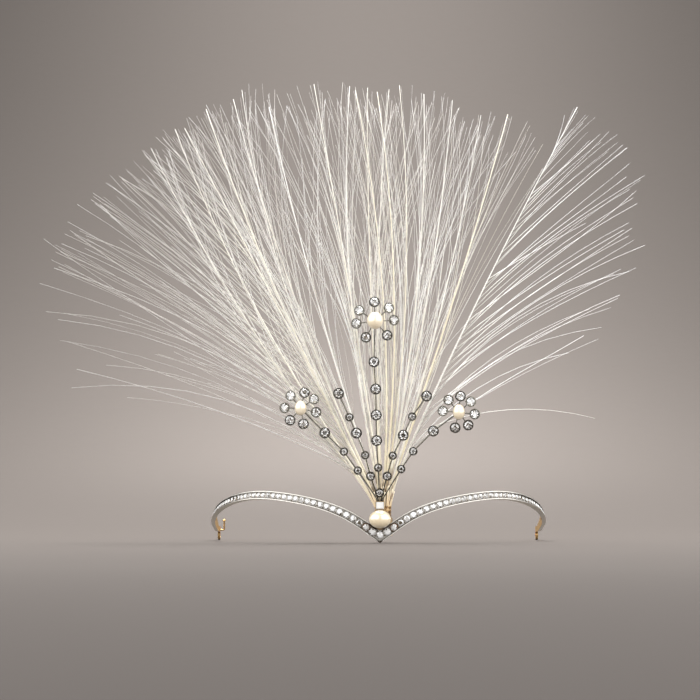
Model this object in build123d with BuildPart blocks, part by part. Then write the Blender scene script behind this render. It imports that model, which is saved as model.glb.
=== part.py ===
"""Bandeau with an aigrette plume, worn low over the brow.

A narrow band dips to a point over the forehead, arches over each temple and runs back
beside the head to two ribbon eyes. A row of cut diamonds fills its front. A button pearl
and a baguette sit in the dip, and five wire sprays of diamonds rise behind them, three of
them ending in a flower with a pearl heart. A socket at the back holds a fan of long
feathers.

Millimetres. +X is the viewer's right, +Y runs to the back of the head and +Z is up. The
origin is the brow point, where the tip of the dip stands on the surface. The bandeau
stands on that tip and on its two eyes.
"""

import os
from collections import namedtuple
from math import ceil, cos, radians, sin, tan

from build123d import *

os.makedirs("parts", exist_ok=True)

# Bandeau: the path is that of the middle of the band
BAND_HALF_WIDTH = 77.3
BAND_LENGTH = 92.0
ARCH_RISE = 18.7
BAND_HEIGHT = 4.5
BAND_THICKNESS = 2.1
BROW_SLOPE = 33.0
RIM_WIDTH = 0.35
CHANNEL_DEPTH = 0.3
STONE_ROW_SHARE = 0.80
BROW_STONE_LIFT = 0.2
END_INWARD = 5.2
END_DROP = 4.3

# Stones: the margin is from the edge of the band to its stones, and the clearance is the
# gap all round between a stone and its seat
STONE_MARGIN = 0.65
BAND_STONE_GAP = 0.42
CLAW_STONE_RADIUS = 1.9
SMALL_CLAW_STONE_RADIUS = 1.5
COLLET_STONE_RADIUS = 1.35
PETAL_STONE_RADIUS = 1.85
CLEARANCE = 0.06
STONE_SIDES = 8
GIRDLE_SHARE = 0.07
CROWN_SHARE = 0.34
PAVILION_SHARE = 0.74
TABLE_SHARE = 0.55
CULET_SHARE = 0.08
GIRDLE_SINK = 0.1

# Settings of the sprays
COLLET_WALL = 0.5
COLLET_DEPTH = 1.9
COLLET_TAPER = 0.72
CLAW_COUNT = 8
CLAW_RADIUS = 0.24
CLAW_RISE = 0.42
WIRE_RADIUS = 0.3
PETAL_WIRE_RADIUS = 0.24
PETAL_TILT = 12.0
PETAL_WIRE_STOP = 0.6
SEAT_LIP = 0.05
WIRE_BEND_SHARE = 0.3
STRAIGHTEST_SINE = 0.02
SPRAY_FRONT = 2.9
SPRAY_LEAN = 0.05

# Button pearl, baguette and socket
PEARL_HALF_WIDTH = 4.95
PEARL_RADIUS = 4.05
PEARL_GAP = 1.25
PEARL_FORWARD = 3.2
PEARL_CUP_RADIUS = 2.8
PEARL_CUP_DEPTH = 1.7
FLOWER_CUP_RADIUS = 1.7
FLOWER_CUP_DEPTH = 1.6
PEG_RADIUS = 0.4
PEG_LENGTH = 1.6
BAGUETTE_WIDTH = 3.6
BAGUETTE_HEIGHT = 3.2
BAGUETTE_DEPTH = 1.7
BAGUETTE_WALL = 0.3
BAGUETTE_CULET_SHARE = 0.4
BAGUETTE_TABLE_SHARE = 0.7
BAGUETTE_STEP = 0.25
MOUNT_GAP = 0.15
PLATE_THICKNESS = 1.0
PLATE_HALF_WIDTH = 3.4
SOCKET_WALL = 0.6
SOCKET_HEIGHT = 8.0
SOCKET_FLOOR = 0.9
SOCKET_SHIFT = 1.4
TUBE_SINK = 0.2
ROOT_PITCH = 0.66
ROOT_MARGIN = 0.66
ROOT_STAGGER = 0.95
ROOT_DEPTH = 3.4

# Plume: turns are measured from upright, positive to the viewer's right
PLUME_REACH = 203.0
STUB_HALF_WIDTH = 3.6
STUB_RADIUS = 2.4
STUB_FLARE = 1.18
STUB_NECK = 5.0
STRIP_THICKNESS = 0.6
STRIP_WIDTH = 2.1
QUILL_WIDTH = 1.5
QUILL_STEPS = 6
STRIP_FOOT_SHARE = 0.6
STRIP_BELLY_SHARE = 0.55
STRIP_SPACING = 3.2
BARB_BOW = 0.035
FIRST_BARB = 0.26
LAYER_LEANS = (-3.0, 0.5, 4.0, 7.5, 11.0)

# Ribbon eyes and hook
EYE_RADIUS = 2.5
EYE_HOLE_RADIUS = 1.4
EYE_THICKNESS = 1.1
SHANK_LENGTH = 0.35
SHANK_HEIGHT = 1.5
HOOK_WIRE_RADIUS = 0.38
HOOK_BALL_RADIUS = 0.72
HOOK_LENGTH = 4.6
HOOK_REACH = 1.9
HOOK_SLANT = 2.3
HOOK_BEND_RADIUS = 0.85
HOOK_GAP = 0.05

# One row for each section of an arm, from the brow back: shares of the bandeau's sizes, and
# the angle by which the face of the band leans back
Station = namedtuple("Station", "across back rise height thickness lean")
STATIONS = (
    Station(0.000, 0.0000, 0.000, 1.00, 1.00, 0),
    Station(0.175, 0.0103, 0.490, 0.95, 1.00, 1),
    Station(0.350, 0.0430, 0.780, 0.88, 1.00, 3),
    Station(0.530, 0.1020, 0.940, 0.84, 1.00, 6),
    Station(0.710, 0.2000, 1.000, 0.80, 1.00, 10),
    Station(0.865, 0.3360, 0.890, 0.77, 1.00, 15),
    Station(0.952, 0.4680, 0.700, 0.76, 0.98, 18),
    Station(0.992, 0.5980, 0.500, 0.74, 0.94, 18),
    Station(1.000, 0.7300, 0.335, 0.70, 0.88, 14),
    Station(0.997, 0.8700, 0.210, 0.65, 0.80, 9),
    Station(0.988, 1.0000, 0.140, 0.58, 0.72, 6),
)

# One row for each stone on a spray, from the root up: shares of the rise of the middle
# flower and of the reach of a side flower, and the kind of setting
SPRAY_RISE = 99.4
SPRAY_REACH = 35.4
SprayStone = namedtuple("SprayStone", "across rise kind")
SPRAYS = {
    "centre_spray": (
        SprayStone(-0.006, 0.226, "small_claw"),
        SprayStone(-0.023, 0.339, "collet"),
        SprayStone(-0.042, 0.461, "claw"),
        SprayStone(-0.048, 0.576, "claw"),
        SprayStone(-0.054, 0.693, "claw"),
        SprayStone(-0.076, 0.815, "claw"),
    ),
    "left_spray": (
        SprayStone(-0.280, 0.326, "collet"),
        SprayStone(-0.455, 0.411, "collet"),
        SprayStone(-0.698, 0.496, "claw"),
    ),
    "right_spray": (
        SprayStone(0.268, 0.333, "collet"),
        SprayStone(0.421, 0.413, "collet"),
        SprayStone(0.675, 0.504, "claw"),
    ),
    "left_inner_spray": (
        SprayStone(-0.119, 0.301, "small_claw"),
        SprayStone(-0.187, 0.395, "collet"),
        SprayStone(-0.297, 0.495, "claw"),
        SprayStone(-0.387, 0.566, "collet"),
        SprayStone(-0.523, 0.673, "claw"),
    ),
    "right_inner_spray": (
        SprayStone(0.091, 0.301, "small_claw"),
        SprayStone(0.161, 0.393, "collet"),
        SprayStone(0.294, 0.485, "claw"),
        SprayStone(0.407, 0.569, "collet"),
        SprayStone(0.590, 0.661, "claw"),
    ),
}
ROOT_ORDER = ("left_spray", "left_inner_spray", "centre_spray", "right_inner_spray", "right_spray")

# One row for each flower: shares as above, the ring that its stones stand on, the half
# width and half height of its pearl, and the angles of its stones from the viewer's right
Flower = namedtuple("Flower", "across rise ring pearl_width pearl_height angles")
FLOWERS = {
    "centre_spray": Flower(-0.062, 1.000, 8.5, 3.65, 3.9, (92, 43, 2, -50, -119, -172, 147)),
    "left_spray": Flower(-1.003, 0.607, 7.2, 2.7, 3.3, (129, 76, 34, -15, -80, -131, 179)),
    "right_spray": Flower(0.997, 0.589, 7.2, 2.7, 3.45, (84, 41, -7, -54, -103, 176, 130)),
}

# One row for each feather: the layer that it lies in, from the front, the turn and reach of
# its quill, how far its quill bows to the viewer's right as a share of its reach, and the
# turns and reaches of its outermost barbs on either side
Feather = namedtuple(
    "Feather", "layer turn reach bow left_turn left_reach right_turn right_reach"
)
FEATHERS = (
    Feather(0, -23.9, 1.000, -0.022, -33.0, 0.94, -20.5, 0.93),
    Feather(0, 14.0, 0.955, 0.020, 8.0, 0.96, 19.0, 0.92),
    Feather(0, 46.5, 0.770, -0.100, 41.5, 0.84, 57.0, 0.52),
    Feather(1, -32.7, 0.980, -0.035, -57.0, 0.93, -28.0, 0.97),
    Feather(1, -9.8, 0.985, 0.005, -19.0, 0.97, -4.0, 0.985),
    Feather(1, 5.7, 0.970, 0.030, 0.0, 0.97, 11.0, 0.96),
    Feather(1, 25.8, 1.013, -0.012, 24.0, 0.95, 39.0, 0.93),
    Feather(2, -52.0, 0.930, 0.100, -66.0, 0.70, -47.0, 0.95),
    Feather(2, -30.5, 1.000, -0.030, -44.0, 0.98, -25.5, 0.94),
    Feather(2, -0.7, 0.970, 0.034, -7.0, 0.98, 4.0, 0.97),
    Feather(2, 17.6, 0.950, 0.010, 13.0, 0.94, 26.0, 0.83),
    Feather(3, -40.6, 0.995, 0.044, -61.0, 0.85, -36.0, 0.98),
    Feather(3, -21.0, 1.000, -0.024, -29.5, 0.95, -15.5, 0.97),
    Feather(3, -6.5, 0.995, -0.036, -13.5, 0.98, -1.0, 0.98),
    Feather(3, 9.8, 0.965, 0.020, 4.5, 0.96, 15.0, 0.95),
    Feather(3, 37.0, 0.970, -0.050, 31.5, 1.00, 50.0, 0.77),
    Feather(4, -45.5, 0.960, 0.067, -54.0, 0.90, -39.0, 0.98),
    Feather(4, -15.4, 0.955, -0.060, -24.0, 0.95, -10.5, 0.96),
    Feather(4, 2.4, 0.985, 0.034, -3.5, 0.98, 7.5, 0.97),
    Feather(4, 22.0, 0.880, 0.000, 16.5, 0.94, 31.0, 0.72),
)


def blend(start, end, share):
    """The value that share of the way from start to end."""
    return start + (end - start) * share


# The path of an arm and the frames along it

brow_height = BAND_HEIGHT / 2 / cos(radians(BROW_SLOPE))
brow_tangent = Vector(cos(radians(BROW_SLOPE)), 0, sin(radians(BROW_SLOPE)))
arm_points = [
    Vector(
        s.across * BAND_HALF_WIDTH,
        s.back * BAND_LENGTH,
        brow_height + s.rise * ARCH_RISE,
    )
    for s in STATIONS
]
end_tangent = Vector(-tan(radians(END_INWARD)), 1, -tan(radians(END_DROP)))
with BuildLine() as arm_line:
    Spline(*arm_points, tangents=(brow_tangent, end_tangent))
arm_path = arm_line.edges()[0]
station_shares = [0.0] + [arm_path.param_at_point(p) for p in arm_points[1:-1]] + [1.0]


def along(share, column):
    """A column of the stations, at a share of the arm's path."""
    for k in range(len(STATIONS) - 1):
        low, high = station_shares[k], station_shares[k + 1]
        if share <= high:
            part = (share - low) / (high - low)
            return blend(getattr(STATIONS[k], column), getattr(STATIONS[k + 1], column), part)
    return getattr(STATIONS[-1], column)


def band_plane(share, origin=None):
    """The band's cross-section plane: x points out of its face and z runs along it."""
    tangent = arm_path.tangent_at(share)
    outward = tangent.cross(Vector(0, 0, 1)).normalized()
    upward = outward.cross(tangent)
    lean = radians(along(share, "lean"))
    face = outward * cos(lean) + upward * sin(lean)
    return Plane(origin=origin or arm_path.position_at(share), x_dir=face, z_dir=tangent)


def face_plane(share, depth):
    """The plane of a stone in the band's face, depth below it, with z pointing out."""
    section = band_plane(share)
    half = BAND_THICKNESS * along(share, "thickness") / 2
    origin = section.origin + section.x_dir * (half - depth)
    return Plane(origin=origin, x_dir=section.z_dir, z_dir=section.x_dir)


# The places of the stones along an arm, the first one beside the stone at the brow

arm_length = arm_path.length


def band_stone_radius(share):
    """The stones fill the height of the band, less a margin."""
    return BAND_HEIGHT * along(share, "height") / 2 - STONE_MARGIN


def stone_shares():
    """The shares of the arm's path at which its stones stand."""
    shares = []
    reach = 2 * band_stone_radius(0) + 2 * BAND_STONE_GAP
    while reach / arm_length < STONE_ROW_SHARE:
        share = reach / arm_length
        shares.append(share)
        reach += 2 * band_stone_radius(share) + BAND_STONE_GAP
    return shares


band_stone_shares = stone_shares()
brow_stone_lift = BROW_STONE_LIFT * BAND_HEIGHT
brow_face = Plane(
    origin=(0, -BAND_THICKNESS / 2 + CHANNEL_DEPTH + GIRDLE_SINK, brow_height + brow_stone_lift),
    x_dir=(1, 0, 0),
    z_dir=(0, -1, 0),
)


# Cut stones

def cut_stone(radius):
    """A cut stone with its girdle's top at height 0: table, crown, girdle and pavilion."""
    levels = (
        (-radius * (GIRDLE_SHARE + PAVILION_SHARE), radius * CULET_SHARE),
        (-radius * GIRDLE_SHARE, radius),
        (0.0, radius),
        (radius * CROWN_SHARE, radius * TABLE_SHARE),
    )
    with BuildPart() as stone:
        for height, size in levels:
            with BuildSketch(Plane.XY.offset(height)):
                RegularPolygon(size, STONE_SIDES)
        loft(ruled=True)
    return stone.part


def write(part, label):
    """Gives a finished piece its name and writes it."""
    part.label = label
    export_step(part, f"parts/{label}.step")


# Bandeau: silver front on a gold back, with an open seat behind each stone

def band_sections(last, rim, top, bottom):
    """Sections of an arm, from past the brow to a share of its path.

    They leave a rim at either edge and run from top to bottom, both measured down from the
    face of the band. They stop at its back.
    """
    shares = [0.0] + [share for share in station_shares if 0 < share < last] + [last]
    planes = [(share, band_plane(share)) for share in shares]
    beyond = arm_path.position_at(0) - arm_path.tangent_at(0) * BAND_HEIGHT
    planes.insert(0, (0.0, band_plane(0.0, beyond)))
    sections = []
    for share, plane in planes:
        half = BAND_THICKNESS * along(share, "thickness") / 2
        low = max(half - bottom, -half)
        with BuildSketch(plane) as section:
            with Locations(((low + half - top) / 2, 0)):
                Rectangle(half - top - low, BAND_HEIGHT * along(share, "height") - 2 * rim)
        sections.append(section.sketch)
    return sections


def seat_cutter(radius):
    """The seat of a band stone, with the open hole behind it."""
    seat = radius + CLEARANCE
    with BuildPart() as cutter:
        with Locations((0, 0, -radius * GIRDLE_SHARE - CLEARANCE)):
            Cylinder(seat, BAND_THICKNESS, align=(Align.CENTER, Align.CENTER, Align.MIN))
        Cylinder(seat * COLLET_TAPER, 4 * BAND_THICKNESS)
        with Locations((0, 0, -radius * GIRDLE_SHARE - CLEARANCE)):
            Cone(
                seat * COLLET_TAPER,
                seat,
                radius * PAVILION_SHARE * (1 - COLLET_TAPER),
                align=(Align.CENTER, Align.CENTER, Align.MAX),
            )
    return cutter.part


stone_sink = CHANNEL_DEPTH + GIRDLE_SINK

seats = [
    face_plane(share, stone_sink).location * seat_cutter(band_stone_radius(share))
    for share in band_stone_shares
]
brow_seat = brow_face.location * seat_cutter(band_stone_radius(0))

with BuildPart() as channel:
    loft(band_sections(STONE_ROW_SHARE, RIM_WIDTH, -CHANNEL_DEPTH, CHANNEL_DEPTH))

with BuildPart() as bandeau:
    loft(band_sections(1.0, 0.0, 0.0, 2 * BAND_THICKNESS))
    add([channel.part, *seats], mode=Mode.SUBTRACT)
    split(bisect_by=Plane.YZ)
    split(bisect_by=Plane.XY)
    mirror(about=Plane.YZ)
    add(brow_seat, mode=Mode.SUBTRACT)
write(bandeau.part, "bandeau")

brow_stone = brow_face.location * cut_stone(band_stone_radius(0))
write(Part(brow_stone.wrapped), "brow_diamond")

right_row = [
    face_plane(share, stone_sink).location * cut_stone(band_stone_radius(share))
    for share in band_stone_shares
]
write(Compound(children=right_row), "right_band_diamonds")
write(Compound(children=[stone.mirror(Plane.YZ) for stone in right_row]), "left_band_diamonds")


# Ribbon eyes: a gold ring on a short shank against each end of the band

end_point = arm_points[-1]
shank_start = end_point.Y + MOUNT_GAP
eye_centre = Vector(end_point.X, shank_start + SHANK_LENGTH + EYE_RADIUS, EYE_RADIUS)
end_low = end_point.Z - BAND_HEIGHT * STATIONS[-1].height / 2

with BuildPart() as right_eye:
    with BuildSketch(Plane.YZ.offset(end_point.X - EYE_THICKNESS / 2)):
        with Locations((eye_centre.Y, eye_centre.Z)):
            Circle(EYE_RADIUS)
        with Locations((shank_start, end_low)):
            Rectangle(SHANK_LENGTH + EYE_RADIUS, SHANK_HEIGHT, align=(Align.MIN, Align.MIN))
        with Locations((eye_centre.Y, eye_centre.Z)):
            Circle(EYE_HOLE_RADIUS, mode=Mode.SUBTRACT)
    extrude(amount=EYE_THICKNESS)
write(right_eye.part, "right_eye")

with BuildPart() as left_eye:
    add(right_eye.part)
    mirror(about=Plane.YZ, mode=Mode.REPLACE)
write(left_eye.part, "left_eye")


# Hook: a ball-tipped wire inside the left eye, pointing up beside the band

hook_foot = Vector(
    -end_point.X + EYE_THICKNESS / 2 + HOOK_GAP,
    eye_centre.Y,
    end_low + SHANK_HEIGHT / 2,
)
with BuildPart() as hook:
    with BuildLine() as hook_line:
        FilletPolyline(
            hook_foot,
            hook_foot + Vector(HOOK_REACH, 0, 0),
            hook_foot + Vector(HOOK_REACH, -HOOK_SLANT, HOOK_LENGTH),
            radius=HOOK_BEND_RADIUS,
        )
    with BuildSketch(Plane(origin=hook_foot, z_dir=(1, 0, 0))):
        Circle(HOOK_WIRE_RADIUS)
    sweep()
    with Locations(hook_line.line @ 1):
        Sphere(HOOK_BALL_RADIUS)
write(hook.part, "left_hook")


# Button pearl, half drilled for the peg behind it

pearl_centre = Vector(0, -PEARL_FORWARD, 2 * brow_height + PEARL_GAP + PEARL_RADIUS)


def pearl(centre, halves, grow=0.0, drilled=True):
    """A pearl with its half sizes along X, Y and Z, and a blind hole at its back."""
    grown = tuple(half + grow for half in halves)
    with BuildPart() as body:
        ball = Sphere(1, mode=Mode.PRIVATE)
        with Locations(centre):
            add(scale(ball, by=grown, mode=Mode.PRIVATE))
        if drilled:
            with Locations(centre + Vector(0, halves[1], 0)):
                Cylinder(
                    PEG_RADIUS + CLEARANCE,
                    2 * (PEG_LENGTH + CLEARANCE),
                    rotation=(90, 0, 0),
                    mode=Mode.SUBTRACT,
                )
    return body.part


def pearl_cup(centre, halves, radius, thickness, back_gap):
    """The dish and peg behind a pearl, back_gap behind its middle."""
    back = Plane(origin=centre + Vector(0, back_gap, 0), z_dir=(0, -1, 0))
    hollow = pearl(centre, halves, CLEARANCE, drilled=False)
    with BuildPart() as cup:
        with BuildSketch(back):
            Circle(radius)
        extrude(amount=thickness)
        add(hollow, mode=Mode.SUBTRACT)
        with BuildSketch(back):
            Circle(PEG_RADIUS)
        extrude(amount=back_gap - halves[1] + PEG_LENGTH)
    return cup.part


pearl_halves = (PEARL_HALF_WIDTH, PEARL_RADIUS, PEARL_RADIUS)
button = pearl(pearl_centre, pearl_halves)
write(button, "button_pearl")


# Socket: an oval tube behind the pearl with a plate against the band, the pearl's cup, the
# baguette's box and a block that holds the roots of the sprays

plate_front = BAND_THICKNESS / 2 + MOUNT_GAP
tube_inner_x = STUB_HALF_WIDTH + 2 * CLEARANCE
tube_inner_y = STUB_RADIUS + 2 * CLEARANCE
tube_outer_x = tube_inner_x + SOCKET_WALL
tube_outer_y = tube_inner_y + SOCKET_WALL
tube_centre_y = plate_front + PLATE_THICKNESS + tube_outer_y - TUBE_SINK
pearl_top = pearl_centre.Z + PEARL_RADIUS
tube_top = pearl_centre.Z + SOCKET_WALL
tube_foot = tube_top - SOCKET_HEIGHT
box_foot = pearl_top + MOUNT_GAP
box_height = BAGUETTE_HEIGHT + 2 * BAGUETTE_WALL
box_centre_z = box_foot + box_height / 2
box_depth = BAGUETTE_DEPTH + BAGUETTE_WALL
block_top = box_foot + box_height
block_foot = block_top - ROOT_DEPTH - SOCKET_FLOOR
block_front = plate_front - ROOT_STAGGER - WIRE_RADIUS
block_half_width = ROOT_PITCH * (len(ROOT_ORDER) - 1) / 2 + ROOT_MARGIN
baguette_face = Plane(
    origin=(0, block_front - box_depth, box_centre_z),
    x_dir=(1, 0, 0),
    z_dir=(0, -1, 0),
)
cup_back = plate_front - pearl_centre.Y


def root_place(name):
    """Where a spray's root stands in the block: the roots are in two rows."""
    place = ROOT_ORDER.index(name)
    back = ROOT_STAGGER * (place % 2)
    across = (place - (len(ROOT_ORDER) - 1) / 2) * ROOT_PITCH
    return Vector(across, plate_front - ROOT_STAGGER / 2 + back)


cup = pearl_cup(pearl_centre, pearl_halves, PEARL_CUP_RADIUS, PEARL_CUP_DEPTH, cup_back)

with BuildPart() as socket:
    with BuildSketch(Plane.XY.offset(tube_foot)):
        with Locations((SOCKET_SHIFT, tube_centre_y)):
            Ellipse(tube_outer_x, tube_outer_y)
    extrude(amount=SOCKET_HEIGHT)
    with BuildSketch(Plane.XZ.offset(-plate_front)):
        with Locations((0, brow_height)):
            Rectangle(2 * PLATE_HALF_WIDTH, tube_top - brow_height, align=(Align.CENTER, Align.MIN))
            Rectangle(2 * block_half_width, block_top - brow_height, align=(Align.CENTER, Align.MIN))
    extrude(amount=-PLATE_THICKNESS)
    with BuildSketch(Plane.XZ.offset(-block_front)):
        with Locations((0, block_foot)):
            Rectangle(2 * block_half_width, block_top - block_foot, align=(Align.CENTER, Align.MIN))
    extrude(amount=-(plate_front - block_front + PLATE_THICKNESS))
    with BuildSketch(baguette_face):
        Rectangle(BAGUETTE_WIDTH + 2 * BAGUETTE_WALL, box_height)
    extrude(amount=-(box_depth + PLATE_THICKNESS))
    with BuildSketch(baguette_face):
        Rectangle(BAGUETTE_WIDTH + 2 * CLEARANCE, BAGUETTE_HEIGHT + 2 * CLEARANCE)
    extrude(amount=-(BAGUETTE_DEPTH + CLEARANCE), mode=Mode.SUBTRACT)
    add(cup)
    with BuildSketch(Plane.XY.offset(tube_foot + SOCKET_FLOOR)):
        with Locations((SOCKET_SHIFT, tube_centre_y)):
            Ellipse(tube_inner_x, tube_inner_y)
    extrude(amount=SOCKET_HEIGHT, mode=Mode.SUBTRACT)
    with BuildSketch(Plane.XY.offset(block_top - ROOT_DEPTH)):
        with Locations(*[root_place(name) for name in ROOT_ORDER]):
            Circle(WIRE_RADIUS + CLEARANCE)
    extrude(amount=2 * box_height, mode=Mode.SUBTRACT)
write(socket.part, "socket")

with BuildPart() as baguette:
    for height, share in (
        (-BAGUETTE_DEPTH, BAGUETTE_CULET_SHARE),
        (-2 * BAGUETTE_STEP, 1.0),
        (-BAGUETTE_STEP, 1.0),
        (BAGUETTE_STEP, BAGUETTE_TABLE_SHARE),
    ):
        with BuildSketch(baguette_face.offset(height)):
            Rectangle(BAGUETTE_WIDTH * share, BAGUETTE_HEIGHT * share)
    loft(ruled=True)
write(baguette.part, "baguette_diamond")


# Sprays: wires with collets and claw settings, three of them ending in a flower

KIND_RADII = {
    "claw": CLAW_STONE_RADIUS,
    "small_claw": SMALL_CLAW_STONE_RADIUS,
    "collet": COLLET_STONE_RADIUS,
    "petal": PETAL_STONE_RADIUS,
}


def setting(radius, clawed):
    """An open-backed tapered collet with the stone's girdle at height 0, plain or clawed."""
    seat = radius + CLEARANCE
    foot = -COLLET_DEPTH
    ledge = -radius * GIRDLE_SHARE - CLEARANCE
    rim = ledge + SEAT_LIP if clawed else radius * CROWN_SHARE / 2
    profile = (
        (seat * COLLET_TAPER, ledge - seat * (1 - COLLET_TAPER)),
        (seat, ledge),
        (seat, rim),
        (seat + COLLET_WALL, rim),
        ((seat + COLLET_WALL) * COLLET_TAPER, foot),
        (seat * COLLET_TAPER - COLLET_WALL / 2, foot),
    )
    with BuildPart() as mount:
        with BuildSketch(Plane.XZ):
            with BuildLine():
                Polyline(*profile, close=True)
            make_face()
        revolve(axis=Axis.Z)
        if clawed:
            with BuildSketch(Plane.XY.offset(foot / 2)):
                with PolarLocations(seat + CLAW_RADIUS, CLAW_COUNT):
                    Circle(CLAW_RADIUS)
            extrude(amount=CLAW_RISE - foot / 2)
    return mount.part


SETTINGS = {kind: setting(radius, kind != "collet") for kind, radius in KIND_RADII.items()}
STONES = {kind: cut_stone(radius) for kind, radius in KIND_RADII.items()}

wire_back = COLLET_DEPTH + WIRE_RADIUS / 2


def front_plane(x, y, z):
    """A plane that faces the viewer."""
    return Plane(origin=(x, y, z), x_dir=(1, 0, 0), z_dir=(0, -1, 0))


def stone_depth(z):
    """Where the girdles of the sprays stand, at a height: they lean forward a little."""
    return -SPRAY_FRONT - SPRAY_LEAN * (z - block_top)


def stone_plane(row):
    """The plane of a spray stone's girdle."""
    z = row.rise * SPRAY_RISE
    return front_plane(row.across * SPRAY_REACH, stone_depth(z), z)


def wire_points(name):
    """A spray's wire: up out of the block, forward, and through the back of each setting."""
    root = root_place(name)
    points = [
        Vector(root.X, root.Y, block_top - ROOT_DEPTH + CLEARANCE),
        Vector(root.X, root.Y, block_top + 4 * WIRE_RADIUS),
    ]
    for row in SPRAYS[name]:
        plane = stone_plane(row)
        points.append(plane.origin + Vector(0, wire_back, 0))
    if name in FLOWERS:
        flower = FLOWERS[name]
        z = flower.rise * SPRAY_RISE
        points.append(Vector(flower.across * SPRAY_REACH, stone_depth(z) + wire_back, z))
    return points


def corner_radii(points):
    """The arc at each corner of a wire, as large as its two runs allow."""
    radii = []
    for before, corner, after in zip(points, points[1:], points[2:]):
        turn = radians((corner - before).get_angle(after - corner))
        shorter = min((corner - before).length, (after - corner).length)
        radii.append(WIRE_BEND_SHARE * shorter / max(sin(turn / 2), STRAIGHTEST_SINE))
    return radii


def petal_plane(flower, angle):
    """The plane of a petal's stone, tipped outwards from the flower's heart."""
    z = flower.rise * SPRAY_RISE
    turn = radians(angle)
    out = Vector(cos(turn), 0, sin(turn))
    centre = Vector(flower.across * SPRAY_REACH, stone_depth(z), z) + out * flower.ring
    tilt = radians(PETAL_TILT)
    facing = Vector(0, -1, 0) * cos(tilt) + out * sin(tilt)
    return Plane(origin=centre, x_dir=facing.cross(out), z_dir=facing)


def flower_heart(flower):
    """The centre of a flower's pearl, whose back just clears the wires."""
    z = flower.rise * SPRAY_RISE
    pearl_back = stone_depth(z) + wire_back - WIRE_RADIUS - CLEARANCE
    return Vector(flower.across * SPRAY_REACH, pearl_back - flower.pearl_width, z)


def flower_pearl_halves(flower):
    """The half sizes of a flower's pearl, which is taller than it is wide."""
    return (flower.pearl_width, flower.pearl_width, flower.pearl_height)


def flower_metal(flower, wire_end):
    """The settings of a flower's petals on their wires, with the cup of its pearl."""
    heart = flower_heart(flower)
    halves = flower_pearl_halves(flower)
    hub = Vector(heart.X, wire_end.Y, heart.Z)
    pieces = []
    for angle in flower.angles:
        plane = petal_plane(flower, angle)
        foot = plane.origin - plane.z_dir * (COLLET_DEPTH - PETAL_WIRE_RADIUS)
        run = foot - hub
        reach = run.length - PETAL_STONE_RADIUS * PETAL_WIRE_STOP
        along_run = Plane(origin=hub, z_dir=run.normalized())
        wire = Solid.make_cylinder(PETAL_WIRE_RADIUS, reach, along_run)
        pieces += [wire, plane.location * SETTINGS["petal"]]
    back = hub.Y - heart.Y + WIRE_RADIUS
    pieces.append(pearl_cup(heart, halves, FLOWER_CUP_RADIUS, FLOWER_CUP_DEPTH, back))
    return pieces


def spray_metal(name):
    """A spray's wire with its settings and, at its tip, the cup and petals of its flower."""
    points = wire_points(name)
    pieces = [stone_plane(row).location * SETTINGS[row.kind] for row in SPRAYS[name]]
    if name in FLOWERS:
        pieces += flower_metal(FLOWERS[name], points[-1])
    with BuildPart() as metal:
        with BuildLine() as line:
            FilletPolyline(*points, radius=corner_radii(points))
        with BuildSketch(Plane(origin=points[0], z_dir=(points[1] - points[0]).normalized())):
            Circle(WIRE_RADIUS)
        sweep(path=line.line)
        add(pieces)
    return metal.part


for name in ROOT_ORDER:
    write(spray_metal(name), name)
    for count, row in enumerate(SPRAYS[name], start=1):
        stone = stone_plane(row).location * STONES[row.kind]
        write(Part(stone.wrapped), f"{name}_diamond_{count}")

for name, flower in FLOWERS.items():
    petals = [petal_plane(flower, angle).location * STONES["petal"] for angle in flower.angles]
    write(Compound(children=petals), name.replace("spray", "flower_diamonds"))
    bead = pearl(flower_heart(flower), flower_pearl_halves(flower))
    write(bead, name.replace("spray", "flower_pearl"))


# Plume: strips cut as quills with their barbs, in layers that lean back from the socket,
# fused to the stub that stands in it

stub_foot = tube_foot + SOCKET_FLOOR + CLEARANCE
stub_top = pearl_top + STUB_NECK
fan_root = Vector(SOCKET_SHIFT, tube_centre_y, pearl_top + SOCKET_WALL)


def polar(turn, reach):
    """A point of a layer, from the fan's root."""
    return Vector(reach * sin(radians(turn)), reach * cos(radians(turn)))


def strip_outline(start, end, bend, width):
    """A slim strip that narrows to both ends and bows to its right by bend."""
    run = end - start
    side = Vector(run.Y, -run.X).normalized()
    middle = start + run * STRIP_BELLY_SHARE + side * bend
    half = side * (width / 2)
    foot = half * STRIP_FOOT_SHARE
    return [start - foot, middle - half, end, middle + half, start + foot]


def quill_point(feather, share):
    """A point of a feather's quill, at a share of its reach."""
    reach = feather.reach * PLUME_REACH
    bow = feather.bow * reach * 4 * share * (1 - share)
    return polar(feather.turn, reach * share) + polar(feather.turn + 90, bow)


def quill_outline(feather):
    """A quill as a bowed strip that narrows to its tip."""
    left = []
    right = []
    for step in range(QUILL_STEPS):
        share = step / QUILL_STEPS
        half = polar(feather.turn + 90, QUILL_WIDTH / 2 * (1 - share))
        left.append(quill_point(feather, share) - half)
        right.append(quill_point(feather, share) + half)
    return [*left, quill_point(feather, 1.0), *reversed(right)]


def feather_strips(feather):
    """The quill and the barb strips of one feather, as outlines in its layer."""
    strips = [quill_outline(feather)]
    sides = (
        (feather.left_turn, feather.left_reach, 1),
        (feather.right_turn, feather.right_reach, -1),
    )
    for outer_turn, outer_reach, hand in sides:
        spread = abs(outer_turn - feather.turn)
        count = max(2, ceil(spread / STRIP_SPACING))
        for k in range(count):
            share = k / count
            start = quill_point(feather, blend(FIRST_BARB, 1.0, share))
            turn = blend(outer_turn, feather.turn, share)
            reach = blend(outer_reach, feather.reach, share)
            end = polar(turn, reach * PLUME_REACH)
            bend = hand * (end - start).length * BARB_BOW
            strips.append(strip_outline(start, end, bend, STRIP_WIDTH))
    return strips


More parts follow.
